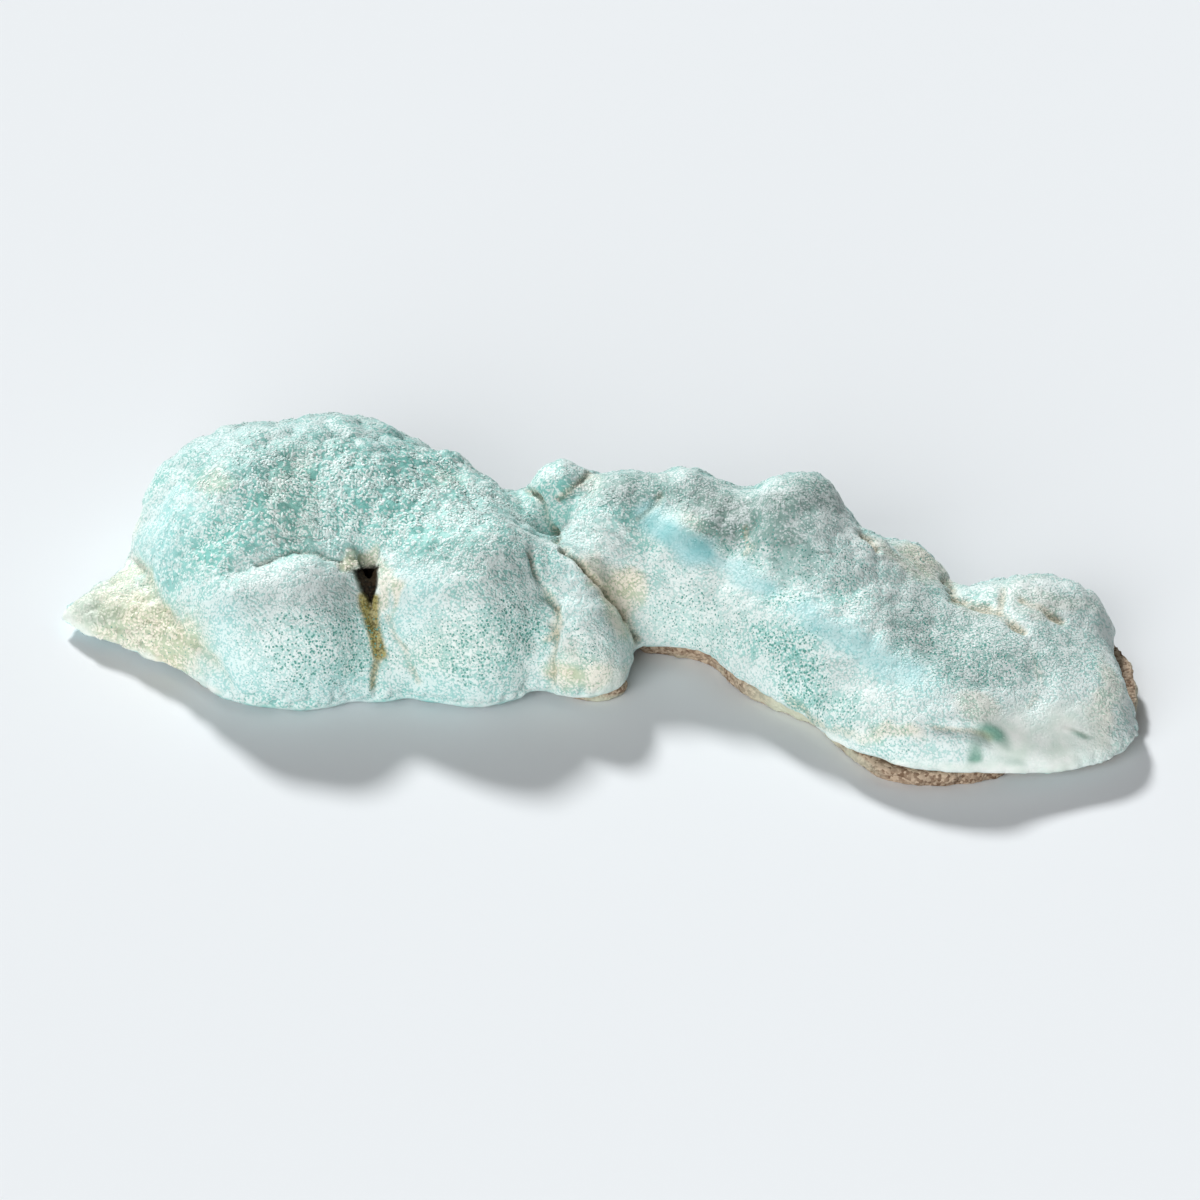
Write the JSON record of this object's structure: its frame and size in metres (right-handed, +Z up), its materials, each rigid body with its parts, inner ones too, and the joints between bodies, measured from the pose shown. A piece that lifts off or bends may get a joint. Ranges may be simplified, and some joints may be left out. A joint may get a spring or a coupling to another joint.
{
  "type": "blue aragonite",
  "caption": "Lobed, fine-grained crust of pale blue aragonite on a thin plate of brown host rock, lying on its flat underside.",
  "frame": {"origin": "centre of the specimen's bounding box in plan, on the surface it lies on", "axes": "+X along the length, to the end where the rock shows; +Y to the back, away from the front bulges; +Z up"},
  "size_m": [0.2, 0.101, 0.0318],
  "materials": {
    "aragonite": "fine sugary grain, pale blue and white with teal pores",
    "rock": "rough sandy brown limonite"
  },
  "bodies": {
    "root": {"aragonite_crust": "aragonite", "host_rock": "rock"}
  },
  "joints": []
}
